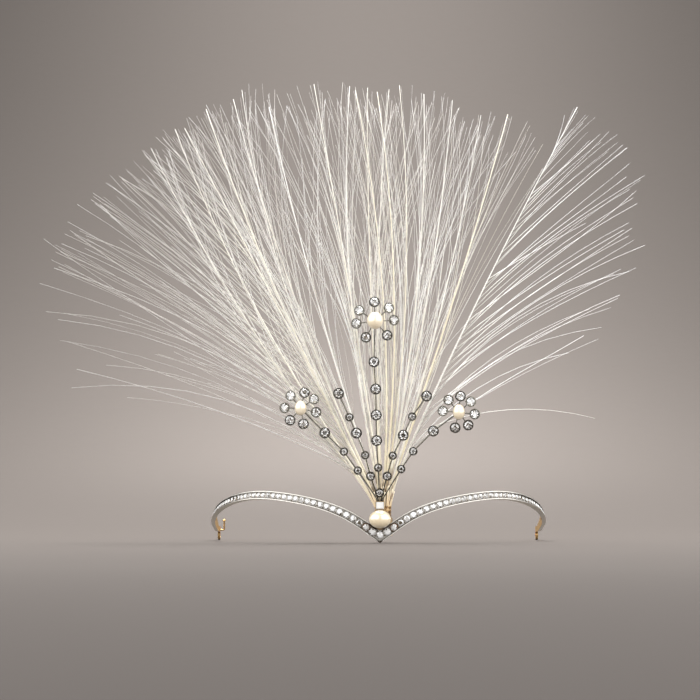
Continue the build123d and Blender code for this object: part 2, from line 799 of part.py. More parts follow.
with BuildPart() as plume:
    with BuildSketch(Plane.XY.offset(stub_foot)):
        with Locations((SOCKET_SHIFT, tube_centre_y)):
            Ellipse(STUB_HALF_WIDTH, STUB_RADIUS)
    with BuildSketch(Plane.XY.offset(fan_root.Z)):
        with Locations((SOCKET_SHIFT, tube_centre_y)):
            Ellipse(STUB_HALF_WIDTH, STUB_RADIUS)
    with BuildSketch(Plane.XY.offset(stub_top)):
        with Locations((SOCKET_SHIFT, tube_centre_y)):
            Ellipse(STUB_HALF_WIDTH * STUB_FLARE, STUB_RADIUS * STUB_FLARE)
    loft(ruled=True)
    for layer, lean in enumerate(LAYER_LEANS):
        layer_plane = Plane(
            origin=fan_root,
            x_dir=(1, 0, 0),
            z_dir=(0, -cos(radians(lean)), sin(radians(lean))),
        )
        with BuildSketch(layer_plane.offset(-STRIP_THICKNESS / 2)):
            for feather in FEATHERS:
                if feather.layer == layer:
                    for outline in feather_strips(feather):
                        with BuildLine():
                            Polyline(*outline, close=True)
                        make_face()
        extrude(amount=STRIP_THICKNESS)
write(plume.part, "plume")
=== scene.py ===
"""Looks of a bandeau with an aigrette plume, worn low over the brow.

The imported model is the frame. Metres, +X to the viewer's right, +Y to the back of the head,
+Z up, with the origin at the brow point.
"""

from collections import namedtuple
from math import cos, pi, radians, sin, tan
from random import Random

import bmesh
import bpy
import numpy as np
from mathutils import Matrix, Vector


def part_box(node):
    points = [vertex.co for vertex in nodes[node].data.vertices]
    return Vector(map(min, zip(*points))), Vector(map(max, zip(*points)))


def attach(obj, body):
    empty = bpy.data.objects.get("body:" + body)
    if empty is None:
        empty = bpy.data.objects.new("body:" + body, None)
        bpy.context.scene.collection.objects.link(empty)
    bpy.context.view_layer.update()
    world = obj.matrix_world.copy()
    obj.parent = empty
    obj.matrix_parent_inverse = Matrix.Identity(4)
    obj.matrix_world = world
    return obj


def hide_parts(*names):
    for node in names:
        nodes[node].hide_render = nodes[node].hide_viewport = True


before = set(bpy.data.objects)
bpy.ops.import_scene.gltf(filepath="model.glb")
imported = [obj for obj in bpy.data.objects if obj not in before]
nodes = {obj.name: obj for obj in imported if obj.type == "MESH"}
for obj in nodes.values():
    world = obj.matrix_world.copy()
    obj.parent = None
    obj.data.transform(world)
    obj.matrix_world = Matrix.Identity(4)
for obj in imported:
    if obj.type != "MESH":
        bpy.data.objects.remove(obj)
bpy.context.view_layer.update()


# Bandeau
# A strip of silver laid on gold, cut with a sunk channel for its stones. The silver has gone
# dark in the recesses and stays bright on the rims. The gold shows on the inner side.

MM = 0.001
HEAD_CENTRE = Vector((0.0, 0.048, 0.0))
SILVER = (0.66, 0.635, 0.585, 1)
TARNISH = (0.026, 0.013, 0.005, 1)
GOLD = (0.80, 0.53, 0.22, 1)
# The range in which nearly all of a noise lies, and the narrower one of its middle
NOISE_RANGE = (0.3, 0.7)
NOISE_MIDDLE = (0.35, 0.65)
# How much a recess is weakened and strengthened by the noise over it
RECESS_BREAK = (0.75, 1.2)
RECESS_RAYS = 10
RUBBED_DETAIL = 4.0
DENT_STRENGTH = 0.25
# Cosines to the way out from the head, between which the front ends and the gold begins
GOLD_FACING = (-0.25, -0.4)


def new_material(name):
    """An empty material with a Principled BSDF, and its node tree."""
    material = bpy.data.materials.new(name)
    material.use_nodes = True
    tree = material.node_tree
    return material, tree, tree.nodes["Principled BSDF"]


def add_node(tree, kind, **settings):
    """A node of a kind. Settings that name an input go on its socket, others on the node."""
    node = tree.nodes.new("ShaderNode" + kind)
    for name, value in settings.items():
        socket = node.inputs.get(name.replace("_", " "))
        if socket is None:
            setattr(node, name, value)
        else:
            socket.default_value = value
    return node


def math_node(tree, operation, first, second):
    """A Math node on two sockets or numbers. Returns its output."""
    node = tree.nodes.new("ShaderNodeMath")
    node.operation = operation
    for socket, value in zip(node.inputs, (first, second)):
        if isinstance(value, (int, float)):
            socket.default_value = value
        else:
            tree.links.new(value, socket)
    return node.outputs[0]


def map_range(tree, value, given, wanted=(0.0, 1.0)):
    """Takes a socket's value from one range to another, clamped. Returns the new output."""
    node = tree.nodes.new("ShaderNodeMapRange")
    tree.links.new(value, node.inputs["Value"])
    for name, number in zip(("From Min", "From Max", "To Min", "To Max"), (*given, *wanted)):
        node.inputs[name].default_value = number
    return node.outputs["Result"]


def mix_colours(tree, share, first, second):
    """A colour mix of sockets or colours by a share. Returns its output."""
    node = tree.nodes.new("ShaderNodeMix")
    node.data_type = "RGBA"
    tree.links.new(share, node.inputs["Factor"])
    for name, value in (("A", first), ("B", second)):
        socket = next(s for s in node.inputs if s.name == name and s.type == "RGBA")
        if isinstance(value, tuple):
            socket.default_value = value
        else:
            tree.links.new(value, socket)
    return next(s for s in node.outputs if s.type == "RGBA")


def group_with(name, inputs, outputs):
    """An empty node group with named float inputs, as (name, default), and named outputs."""
    group = bpy.data.node_groups.new(name, "ShaderNodeTree")
    for label, default in inputs:
        socket = group.interface.new_socket(label, in_out="INPUT", socket_type="NodeSocketFloat")
        socket.default_value = default
    for label in outputs:
        group.interface.new_socket(label, in_out="OUTPUT", socket_type="NodeSocketFloat")
    return group, group.nodes.new("NodeGroupInput"), group.nodes.new("NodeGroupOutput")


def make_recess_group():
    """How deep in a recess a point lies, broken up by a fine noise."""
    group, given, out = group_with(
        "recess",
        [("Reach", 0.0008), ("Noise Scale", 900.0), ("Open", 0.85), ("Closed", 0.35)],
        ["Mask"],
    )
    place = group.nodes.new("ShaderNodeTexCoord")
    noise = group.nodes.new("ShaderNodeTexNoise")
    group.links.new(place.outputs["Object"], noise.inputs["Vector"])
    group.links.new(given.outputs["Noise Scale"], noise.inputs["Scale"])
    near = group.nodes.new("ShaderNodeAmbientOcclusion")
    near.samples = RECESS_RAYS
    group.links.new(given.outputs["Reach"], near.inputs["Distance"])
    ranged = group.nodes.new("ShaderNodeMapRange")
    group.links.new(near.outputs["AO"], ranged.inputs["Value"])
    group.links.new(given.outputs["Open"], ranged.inputs["From Min"])
    group.links.new(given.outputs["Closed"], ranged.inputs["From Max"])
    broken = map_range(group, noise.outputs["Fac"], NOISE_RANGE, RECESS_BREAK)
    mask = math_node(group, "MULTIPLY", ranged.outputs["Result"], broken)
    group.links.new(mask, out.inputs["Mask"])
    return group


def make_rubbed_group():
    """The uneven gloss and the fine dents of metal that has been polished and worn."""
    group, given, out = group_with(
        "rubbed", [("Scale", 700.0), ("Low", 0.15), ("High", 0.4)], ["Roughness", "Height"]
    )
    place = group.nodes.new("ShaderNodeTexCoord")
    noise = group.nodes.new("ShaderNodeTexNoise")
    noise.inputs["Detail"].default_value = RUBBED_DETAIL
    group.links.new(place.outputs["Object"], noise.inputs["Vector"])
    group.links.new(given.outputs["Scale"], noise.inputs["Scale"])
    gloss = group.nodes.new("ShaderNodeMapRange")
    group.links.new(noise.outputs["Fac"], gloss.inputs["Value"])
    gloss.inputs["From Min"].default_value = NOISE_RANGE[0]
    gloss.inputs["From Max"].default_value = NOISE_RANGE[1]
    group.links.new(given.outputs["Low"], gloss.inputs["To Min"])
    group.links.new(given.outputs["High"], gloss.inputs["To Max"])
    group.links.new(gloss.outputs["Result"], out.inputs["Roughness"])
    group.links.new(noise.outputs["Fac"], out.inputs["Height"])
    return group


recess_group = make_recess_group()
rubbed_group = make_rubbed_group()


def use_group(tree, group, **values):
    """Places a node group in a material with its own values."""
    node = tree.nodes.new("ShaderNodeGroup")
    node.node_tree = group
    for name, value in values.items():
        node.inputs[name.replace("_", " ")].default_value = value
    return node


def rub(tree, shader, scale, low, high, depth):
    """Gives a metal its uneven gloss and its fine dents."""
    rubbed = use_group(tree, rubbed_group, Scale=scale, Low=low, High=high)
    tree.links.new(rubbed.outputs["Roughness"], shader.inputs["Roughness"])
    bump = add_node(tree, "Bump", Strength=DENT_STRENGTH, Distance=depth)
    tree.links.new(rubbed.outputs["Height"], bump.inputs["Height"])
    tree.links.new(bump.outputs["Normal"], shader.inputs["Normal"])


def make_bandeau_metal():
    """Silver with dark recesses in front, and gold wherever the surface faces the head."""
    material, tree, shader = new_material("silver on gold")
    shader.inputs["Metallic"].default_value = 1.0
    recess = use_group(tree, recess_group, Reach=1.5 * MM, Open=0.95, Closed=0.87)
    front = mix_colours(tree, recess.outputs["Mask"], SILVER, TARNISH)
    place = tree.nodes.new("ShaderNodeTexCoord")
    outward = add_node(tree, "VectorMath", operation="SUBTRACT")
    tree.links.new(place.outputs["Object"], outward.inputs[0])
    outward.inputs[1].default_value = HEAD_CENTRE
    level = add_node(tree, "VectorMath", operation="MULTIPLY")
    tree.links.new(outward.outputs[0], level.inputs[0])
    level.inputs[1].default_value = (1, 1, 0)
    direction = add_node(tree, "VectorMath", operation="NORMALIZE")
    tree.links.new(level.outputs[0], direction.inputs[0])
    surface = tree.nodes.new("ShaderNodeNewGeometry")
    facing = add_node(tree, "VectorMath", operation="DOT_PRODUCT")
    tree.links.new(direction.outputs[0], facing.inputs[0])
    tree.links.new(surface.outputs["True Normal"], facing.inputs[1])
    inner = map_range(tree, facing.outputs["Value"], GOLD_FACING)
    tree.links.new(mix_colours(tree, inner, front, GOLD), shader.inputs["Base Color"])
    rub(tree, shader, scale=800.0, low=0.34, high=0.52, depth=0.02 * MM)
    return material


def paint(material, *names):
    """Gives CAD nodes a material, in place of the plain one that they came with."""
    for name in names:
        for slot in nodes[name].material_slots:
            slot.material = material


paint(make_bandeau_metal(), "bandeau")


# Stones
# Old-cut diamonds: a small table, a high crown and a cut-off culet. Each stands where its
# solid does, turned about its own axis as the hand that cut it left it.

Seat = namedtuple("Seat", "centre out radius")
GIRDLE_SHARE = 0.07
CROWN_SHARE = 0.34
PAVILION_SHARE = 0.74
TABLE_SHARE = 0.55
CULET_SHARE = 0.08
STAR_SHARE = 0.8
LOWER_HALF_SHARE = 0.62
CUT_SIDES = 8
# Painted reflections: the colours of the facets that catch the light and of those that don't
PAINTED_LIT_FACET = (1, 0.995, 0.985, 1)
PAINTED_DARK_FACET = (0.14, 0.115, 0.08, 1)
# How fast the painted bright and dark reflections of the facets change with their direction
# and from stone to stone, and how soft the step between the two is
FACET_CHANGE = 3.0
STONE_CHANGE = 120.0
FACET_EDGE = 0.03
DIAMOND_IOR = 2.42
# Corners closer than this are one, and faces whose normals agree to this cosine are one side
WELD_GAP = 0.002 * MM
SIDE_COSINE = 0.9995


def loose_solids(node):
    """For each loose solid of a CAD node, its faces as (normal, area, centre)."""
    shape = bmesh.new()
    shape.from_mesh(nodes[node].data)
    bmesh.ops.remove_doubles(shape, verts=shape.verts, dist=WELD_GAP)
    reached = set()
    islands = []
    for first in shape.verts:
        if first in reached:
            continue
        reached.add(first)
        island = [first]
        for corner in island:
            for edge in corner.link_edges:
                other = edge.other_vert(corner)
                if other not in reached:
                    reached.add(other)
                    island.append(other)
        faces = dict.fromkeys(face for corner in island for face in corner.link_faces)
        islands.append([
            (face.normal.copy(), face.calc_area(), face.calc_center_median()) for face in faces
        ])
    shape.free()
    return islands


def seat_of(island):
    """A stone's seat, from its faces: the table is the flat side with the largest area.

    The area of a table with corners on a circle of radius 1 gives the stone's radius.
    """
    sides = []
    for normal, area, centre in island:
        for side in sides:
            if side[0].dot(normal) > SIDE_COSINE:
                side[1] += area
                side[2] += centre * area
                break
        else:
            sides.append([normal, area, centre * area])
    normal, area, moment = max(sides, key=lambda side: side[1])
    unit_area = CUT_SIDES * sin(pi / CUT_SIDES) * cos(pi / CUT_SIDES)
    radius = (area / unit_area) ** 0.5 / TABLE_SHARE
    centre = moment / area - normal * radius * CROWN_SHARE
    return Seat(centre, normal, radius)


def seats_of(*names):
    """The seats of all stones of some CAD nodes, those of one node from left to right."""
    seats = []
    for name in names:
        own = [seat_of(island) for island in loose_solids(name)]
        seats += sorted(own, key=lambda seat: seat.centre.x)
    return seats


def ring(count, radius, height, start=0.0):
    """Corners on a circle, start being in steps."""
    step = 2 * pi / count
    angles = [(k + start) * step for k in range(count)]
    return [(radius * cos(angle), radius * sin(angle), height) for angle in angles]


def old_cut():
    """The corners and facets of a stone of radius 1, its girdle's top at height 0."""
    n = CUT_SIDES
    slope = cos(pi / n)
    star_height = CROWN_SHARE * (1 - STAR_SHARE * slope) / (1 - TABLE_SHARE)
    lower_drop = PAVILION_SHARE * (1 - LOWER_HALF_SHARE * slope) / (1 - CULET_SHARE)
    corners = ring(n, TABLE_SHARE, CROWN_SHARE)
    corners += ring(n, STAR_SHARE, star_height, 0.5)
    corners += ring(2 * n, 1.0, 0.0)
    corners += ring(2 * n, 1.0, -GIRDLE_SHARE)
    corners += ring(n, LOWER_HALF_SHARE, -GIRDLE_SHARE - lower_drop, 0.5)
    corners += ring(n, CULET_SHARE, -GIRDLE_SHARE - PAVILION_SHARE)
    star, girdle, under, lower, culet = n, 2 * n, 4 * n, 6 * n, 7 * n
    facets = [tuple(range(n)), tuple(culet + k for k in reversed(range(n)))]
    for k in range(n):
        after = (k + 1) % n
        facets.append((k, star + k, after))
        facets.append((after, star + k, girdle + 2 * after, star + after))
        facets.append((star + k, girdle + 2 * k, girdle + 2 * k + 1))
        facets.append((star + k, girdle + 2 * k + 1, girdle + 2 * after))
        facets.append((lower + k, under + 2 * k + 1, under + 2 * k))
        facets.append((lower + k, under + 2 * after, under + 2 * k + 1))
        facets.append((culet + after, lower + after, under + 2 * after, lower + k))
        facets.append((culet + k, culet + after, lower + k))
    for k in range(2 * n):
        after = (k + 1) % (2 * n)
        facets.append((girdle + k, under + k, under + after, girdle + after))
    return corners, facets


def seat_matrix(seat, turn):
    """Puts a thing of radius 1 that faces +Z into a seat, turned about the seat's axis."""
    upright = seat.out.to_track_quat("Z", "Y").to_matrix().to_4x4()
    place = Matrix.Translation(seat.centre) @ upright @ Matrix.Rotation(turn, 4, "Z")
    return place @ Matrix.Scale(seat.radius, 4)


def joined_mesh(name, corners, facets, places):
    """One object of the same small mesh at many places."""
    many = []
    sides = []
    for place in places:
        start = len(many)
        many += [place @ Vector(corner) for corner in corners]
        sides += [tuple(start + k for k in facet) for facet in facets]
    mesh = bpy.data.meshes.new(name)
    mesh.from_pydata(many, [], sides)
    piece = bpy.data.objects.new(name, mesh)
    bpy.context.scene.collection.objects.link(piece)
    return piece


def finish_piece(piece, material, replaced=()):
    """Gives a new piece its material, its body and the nodes that it stands for."""
    piece.data.materials.append(material)
    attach(piece, "root")
    if replaced:
        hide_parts(*replaced)


def make_diamond(name, clear, painted_dark_share):
    """Stone as clear as asked, its facets painted faintly warm white or dark as bright and dark
    reflections.
    """
    material, tree, shader = new_material(name)
    surface = tree.nodes.new("ShaderNodeNewGeometry")
    turned = add_node(tree, "VectorMath", operation="SCALE")
    tree.links.new(surface.outputs["True Normal"], turned.inputs[0])
    turned.inputs["Scale"].default_value = FACET_CHANGE
    place = tree.nodes.new("ShaderNodeTexCoord")
    stone = add_node(tree, "VectorMath", operation="SCALE")
    tree.links.new(place.outputs["Object"], stone.inputs[0])
    stone.inputs["Scale"].default_value = STONE_CHANGE
    both = add_node(tree, "VectorMath", operation="ADD")
    tree.links.new(turned.outputs[0], both.inputs[0])
    tree.links.new(stone.outputs[0], both.inputs[1])
    noise = add_node(tree, "TexNoise", Scale=1.0, Detail=0.0)
    tree.links.new(both.outputs[0], noise.inputs["Vector"])
    # Painted reflections: by its direction, a share of the facets is painted dark and the rest
    # bright
    edge = (painted_dark_share - FACET_EDGE, painted_dark_share + FACET_EDGE)
    bright = map_range(tree, noise.outputs["Fac"], edge)
    colour = mix_colours(tree, bright, PAINTED_DARK_FACET, PAINTED_LIT_FACET)
    tree.links.new(colour, shader.inputs["Base Color"])
    shader.inputs["Transmission Weight"].default_value = clear
    shader.inputs["IOR"].default_value = DIAMOND_IOR
    rubbed = use_group(tree, rubbed_group, Scale=1500.0, Low=0.0, High=0.035)
    tree.links.new(rubbed.outputs["Roughness"], shader.inputs["Roughness"])
    return material


# The band's stones are nearly opaque, so most of their look is painted reflection
diamond = make_diamond("old-cut diamond", clear=1.0, painted_dark_share=0.43)
white_diamond = make_diamond("white diamond", clear=0.18, painted_dark_share=0.42)
cut_corners, cut_facets = old_cut()
cutter = Random(3)


def cut_stones(name, material, *replaced):
    """Old-cut stones in place of the plain solids of some nodes."""
    seats = seats_of(*replaced)
    places = [seat_matrix(seat, cutter.uniform(0, 2 * pi)) for seat in seats]
    stones = joined_mesh(name, cut_corners, cut_facets, places)
    finish_piece(stones, material, replaced)
    return seats


# From left to right, as the grains and the collets need them
BAND_STONES = ("left_band_diamonds", "brow_diamond", "right_band_diamonds")
band_seats = cut_stones("band_stones", white_diamond, *BAND_STONES)
SPRAYS = ("left_spray", "left_inner_spray", "centre_spray", "right_inner_spray", "right_spray")
for spray in SPRAYS:
    own = sorted(name for name in nodes if name.startswith(spray + "_diamond_"))
    cut_stones(spray + "_stones", diamond, *own)
for side in ("centre", "left", "right"):
    cut_stones(side + "_flower_stones", diamond, side + "_flower_diamonds")


# Grains
# Two small beads of silver are raised between each pair of stones and pushed over their
# edges to hold them.

# In radii of the stones beside a grain: its own radius, and how far it stands from their row
GRAIN_SHARE = 0.15
GRAIN_SPREAD = 0.66
GRAIN_LIFT = 0.12 * MM
GREY_SILVER = (0.30, 0.25, 0.18, 1)


def round_grain():
    """The corners and faces of a ball of radius 1."""
    ball = bmesh.new()
    bmesh.ops.create_icosphere(ball, subdivisions=2, radius=1.0)
    ball.verts.index_update()
    corners = [tuple(corner.co) for corner in ball.verts]
    faces = [tuple(corner.index for corner in face.verts) for face in ball.faces]
    ball.free()
    return corners, faces


def make_grain_metal():
    """Silver whose grains have gone grey at their feet."""
    material, tree, shader = new_material("silver grains")
    shader.inputs["Metallic"].default_value = 1.0
    recess = use_group(tree, recess_group, Reach=0.8 * MM, Open=1.0, Closed=0.75)
    colour = mix_colours(tree, recess.outputs["Mask"], GREY_SILVER, TARNISH)
    tree.links.new(colour, shader.inputs["Base Color"])
    rub(tree, shader, scale=1500.0, low=0.18, high=0.35, depth=0.01 * MM)
    return material


def grain_places(seats):
    """Where the grains stand: above and below the gap between each stone and the next."""
    places = []
    for before, after in zip(seats, seats[1:]):
        middle = (before.centre + after.centre) / 2
        out = (before.out + after.out).normalized()
        along = (after.centre - before.centre).normalized()
        across = out.cross(along)
        radius = (before.radius + after.radius) / 2
        for hand in (1, -1):
            centre = middle + across * hand * radius * GRAIN_SPREAD + out * GRAIN_LIFT
            places.append(Matrix.Translation(centre) @ Matrix.Scale(radius * GRAIN_SHARE, 4))
    return places


grain_corners, grain_faces = round_grain()
grains = joined_mesh("band_grains", grain_corners, grain_faces, grain_places(band_seats))
grains.data.shade_smooth()
finish_piece(grains, make_grain_metal())


# Collets in the band
# The second stone on each side of the brow stone sits in a low collet of its own: a thin gold
# rim, gone brown with age, that is rubbed over the stone's edge.

COLLET_PLACES = (-2, 2)
COLLET_SIDES = 24
BROWN_GOLD = (0.16, 0.08, 0.03, 1)
# One row for each ring of the collet's section, in radii of its stone
Lip = namedtuple("Lip", "radius height")
COLLET_LIPS = (
    Lip(1.0, -0.05), Lip(1.0, 0.10), Lip(1.05, 0.16), Lip(1.12, 0.14), Lip(1.16, 0.0),
)


def low_collet():
    """The corners and facets of a collet round a stone of radius 1."""
    corners = []
    for lip in COLLET_LIPS:
        corners += ring(COLLET_SIDES, lip.radius, lip.height)
    facets = []
    for step in range(len(COLLET_LIPS) - 1):
        for k in range(COLLET_SIDES):
            after = (k + 1) % COLLET_SIDES
            low, high = step * COLLET_SIDES, (step + 1) * COLLET_SIDES
            facets.append((low + k, high + k, high + after, low + after))
    return corners, facets


def make_collet_metal():
    """Brown gold, smoother in some places than in others."""
    material, tree, shader = new_material("brown gold")
    shader.inputs["Metallic"].default_value = 1.0
    shader.inputs["Base Color"].default_value = BROWN_GOLD
    rub(tree, shader, scale=1500.0, low=0.25, high=0.45, depth=0.02 * MM)
    return material


brow_place = min(range(len(band_seats)), key=lambda k: abs(band_seats[k].centre.x))
collet_places = [seat_matrix(band_seats[brow_place + step], 0.0) for step in COLLET_PLACES]
collets = joined_mesh("band_collets", *low_collet(), collet_places)
finish_piece(collets, make_collet_metal())


# Ribbon eyes and hook
# Rings and a ball-tipped wire of gold, soldered to the ends of the bandeau and worn smooth by
# ribbons and hair.

GOLD_SHADE = (0.24, 0.13, 0.05, 1)


def make_gold():
    """Polished gold of a warm colour, darker in its corners."""
    material, tree, shader = new_material("worn gold")
    shader.inputs["Metallic"].default_value = 1.0
    recess = use_group(tree, recess_group, Reach=0.6 * MM)
    colour = mix_colours(tree, recess.outputs["Mask"], GOLD, GOLD_SHADE)
    tree.links.new(colour, shader.inputs["Base Color"])
    rub(tree, shader, scale=900.0, low=0.14, high=0.32, depth=0.02 * MM)
    return material


paint(make_gold(), "left_eye", "right_eye", "left_hook")


# Pearls
# Natural pearls of a cream colour, with a deep soft gloss under a clear skin. Each is half
# drilled and glued on a peg.

CREAM_PEARL = (0.88, 0.73, 0.50, 1)
CREAM_CLOUD = (0.91, 0.78, 0.56, 1)
PALE_PEARL = (0.90, 0.76, 0.54, 1)
PALE_CLOUD = (0.92, 0.80, 0.61, 1)
PEARL_ROUGHNESS = (0.24, 0.32)
PEARL_IOR = 1.8
SKIN_ROUGHNESS = 0.12
SKIN_IOR = 2.1


def make_pearl(name, body, cloud):
    """Pearl: a cream body, slightly clouded, under a clear coat."""
    material, tree, shader = new_material(name)
    place = tree.nodes.new("ShaderNodeTexCoord")
    clouds = add_node(tree, "TexNoise", Scale=260.0, Detail=3.0)
    tree.links.new(place.outputs["Object"], clouds.inputs["Vector"])
    share = map_range(tree, clouds.outputs["Fac"], NOISE_MIDDLE)
    tree.links.new(mix_colours(tree, share, body, cloud), shader.inputs["Base Color"])
    rough = map_range(tree, clouds.outputs["Fac"], NOISE_RANGE, PEARL_ROUGHNESS)
    tree.links.new(rough, shader.inputs["Roughness"])
    shader.inputs["IOR"].default_value = PEARL_IOR
    shader.inputs["Coat Weight"].default_value = 1.0
    shader.inputs["Coat Roughness"].default_value = SKIN_ROUGHNESS
    shader.inputs["Coat IOR"].default_value = SKIN_IOR
    return material


paint(make_pearl("cream pearl", CREAM_PEARL, CREAM_CLOUD), "button_pearl")
pale_pearl = make_pearl("pale pearl", PALE_PEARL, PALE_CLOUD)
paint(pale_pearl, "centre_flower_pearl", "left_flower_pearl", "right_flower_pearl")


# Socket and baguette
# A gold tube, plate and block soldered behind the pearl, and a box of the same gold that holds
# the upright stone above it.

SOCKET_GOLD = (0.66, 0.50, 0.30, 1)
SOCKET_SHADE = (0.10, 0.06, 0.03, 1)


def make_socket_metal():
    """Gold that has darkened, between the bright stone and the feathers."""
    material, tree, shader = new_material("dark gold")
    shader.inputs["Metallic"].default_value = 1.0
    recess = use_group(tree, recess_group, Reach=1.2 * MM)
    colour = mix_colours(tree, recess.outputs["Mask"], SOCKET_GOLD, SOCKET_SHADE)
    tree.links.new(colour, shader.inputs["Base Color"])
    rub(tree, shader, scale=700.0, low=0.25, high=0.45, depth=0.03 * MM)
    return material


paint(make_socket_metal(), "socket")
# The baguette is nearly opaque and painted bright on every facet, as a painted reflection
paint(make_diamond("baguette", clear=0.1, painted_dark_share=0.0), "baguette_diamond")


# Sprays
# Wires and settings of silver, soldered together and oxidised to a dark grey, lighter where
# they stand out.

OXIDE = (0.15, 0.14, 0.115, 1)
DEEP_OXIDE = (0.015, 0.013, 0.01, 1)


def make_spray_metal():
    """Grey silver, dark in its recesses."""
    material, tree, shader = new_material("oxidised silver")
    shader.inputs["Metallic"].default_value = 1.0
    recess = use_group(
        tree, recess_group, Reach=0.9 * MM, Noise_Scale=1200.0, Open=0.95, Closed=0.6
    )
    colour = mix_colours(tree, recess.outputs["Mask"], OXIDE, DEEP_OXIDE)
    tree.links.new(colour, shader.inputs["Base Color"])
    rub(tree, shader, scale=1200.0, low=0.18, high=0.35, depth=0.03 * MM)
    return material


paint(make_spray_metal(), *SPRAYS)


# Plume
# Long egret feathers, each a slim quill with fine barbs. The quills stand close together in
# the socket, golden brown there, cream above and white at their tips. The barbs droop on the
# left, and on the right they are combed out to one side of the last quill.

PLUME_REACH = 203.0 * MM
QUILL_RADIUS = 0.58 * MM
QUILL_TIP_RADIUS = 0.066 * MM
QUILL_TAPER = 1.35
BARB_RADIUS = 0.24 * MM
BARB_TIP_RADIUS = 0.064 * MM
BARB_TAPER = 1.7
# From the lowest barb to the highest: the share of the quill at the highest, and how the reach
# and the turn of a barb's tip go over to those of the quill's
LAST_BARB = 0.94
GROWTH_EASE = 3.0
TURN_EASE = 1.2
# The layers lean back by these degrees, and widen by this share for each metre behind the root
LAYER_LEANS = (-3.0, 0.5, 4.0, 7.5, 11.0)
LAYER_SPREAD = 0.77
# The quills stand in an oval in the socket and close up with the fan over the gather length
ROOT_ACROSS = 2.9 * MM
ROOT_BACK = 1.6 * MM
ROOT_FANNING = 2.4
ROOT_DEPTH = 9.0 * MM
GATHER_LENGTH = 9.0 * MM
QUILL_SIDES = 6
BARB_SIDES = 3
QUILL_STEPS = 24
QUILL_STEP_EASE = 1.3
BARB_STEPS = 9

# One row for each feather: its layer, from the front, the turn and reach of its tip, how far
# it bows to the viewer's right, how stout its tip is, how cream it is and how stout its barbs
# are. Then for its left and right side: the share of the quill at the lowest barb, the turn
# and reach of that barb's tip, the number of barbs, how far they crowd to the root and the
# share of them that are short. Turns are in degrees from upright, to the viewer's right, and
# reaches are shares of the plume's
Side = namedtuple("Side", "first turn reach count crowding ragged", defaults=(1.5, 0.44))
Feather = namedtuple("Feather", "layer turn reach bow girth cream barb left right")
FEATHERS = (
    Feather(0, -23.9, 0.975, -0.022, 2.8, 0.6, 1.0,
            Side(0.14, -38.0, 0.95, 30), Side(0.35, -19.5, 0.95, 12)),
    Feather(0, 14.0, 0.905, 0.020, 1.2, 0.2, 0.8,
            Side(0.22, 8.0, 0.90, 10), Side(0.22, 18.0, 0.85, 9)),
    Feather(0, 17.6, 0.923, 0.010, 3.0, 1.0, 0.8,
            Side(0.18, 11.0, 0.86, 8), Side(0.12, 26.5, 0.82, 18, 1.5, 0.1)),
    Feather(1, -28.7, 0.965, -0.035, 1.8, 0.4, 1.1,
            Side(0.10, -67.0, 0.76, 37), Side(0.30, -23.5, 0.95, 12)),
    Feather(1, -9.2, 0.960, 0.005, 2.0, 0.5, 1.0,
            Side(0.13, -21.0, 0.93, 23), Side(0.15, -2.0, 0.93, 13)),
    Feather(1, 5.7, 0.930, 0.030, 2.2, 0.3, 0.9,
            Side(0.13, 0.0, 0.91, 13), Side(0.10, 22.5, 0.85, 28)),
    Feather(1, 25.9, 0.996, -0.012, 2.2, 0.0, 1.1,
            Side(0.80, 25.5, 0.97, 1), Side(0.12, 53.0, 0.54, 46, 1.1, 0.15)),
    Feather(2, -27.5, 0.957, 0.000, 1.8, 0.5, 1.1,
            Side(0.12, -59.5, 0.895, 40), Side(0.22, -20.5, 0.94, 14)),
    Feather(2, -3.7, 0.935, 0.034, 2.0, 0.9, 0.8,
            Side(0.12, -13.0, 0.91, 15), Side(0.13, 5.0, 0.90, 12)),
    Feather(2, -0.7, 0.930, 0.034, 2.2, 1.0, 0.8,
            Side(0.12, -9.0, 0.91, 13), Side(0.13, 8.0, 0.90, 12)),
    Feather(2, -2.0, 0.940, -0.010, 1.2, 0.6, 0.8,
            Side(0.14, -10.0, 0.90, 9), Side(0.16, 5.0, 0.90, 7)),
    Feather(3, -32.7, 0.955, -0.030, 1.4, 0.3, 1.1,
            Side(0.12, -55.0, 0.96, 35), Side(0.22, -28.0, 0.95, 14)),
    Feather(3, -20.0, 0.972, -0.024, 1.8, 0.3, 1.0,
            Side(0.14, -34.0, 0.95, 26), Side(0.20, -12.0, 0.93, 16)),
    Feather(3, -4.4, 0.945, -0.036, 1.8, 0.2, 0.9,
            Side(0.13, -16.0, 0.91, 17), Side(0.15, 3.0, 0.90, 13)),
    Feather(3, 9.8, 0.925, 0.020, 1.2, 0.3, 0.8,
            Side(0.14, 3.0, 0.89, 13), Side(0.15, 17.5, 0.86, 13)),
    Feather(4, -18.5, 0.985, -0.050, 1.0, 0.2, 1.0,
            Side(0.20, -29.0, 0.95, 14), Side(0.30, -11.0, 0.93, 9)),
    Feather(4, -15.7, 0.930, -0.016, 2.4, 0.0, 0.9,
            Side(0.18, -26.0, 0.92, 13), Side(0.20, -6.0, 0.91, 14)),
    Feather(4, 1.0, 0.935, -0.020, 1.2, 0.4, 0.8,
            Side(0.15, -7.0, 0.91, 10), Side(0.17, 8.0, 0.90, 10)),
    Feather(4, 2.4, 0.945, 0.034, 1.4, 0.7, 0.8,
            Side(0.15, -6.0, 0.91, 11), Side(0.17, 11.0, 0.89, 12)),
)

# One row for each barb that strays from the fan: its layer, the turn and reach of its start
# and of its tip, and how far it bows
Stray = namedtuple("Stray", "layer start_turn start_reach turn reach bow")
STRAYS = (
    Stray(1, 27.5, 0.196, 66.9, 0.512, -0.085),
    Stray(2, -40.7, 0.105, -58.0, 0.368, 0.05),
    Stray(1, -44.0, 0.20, -66.5, 0.62, 0.04),
)

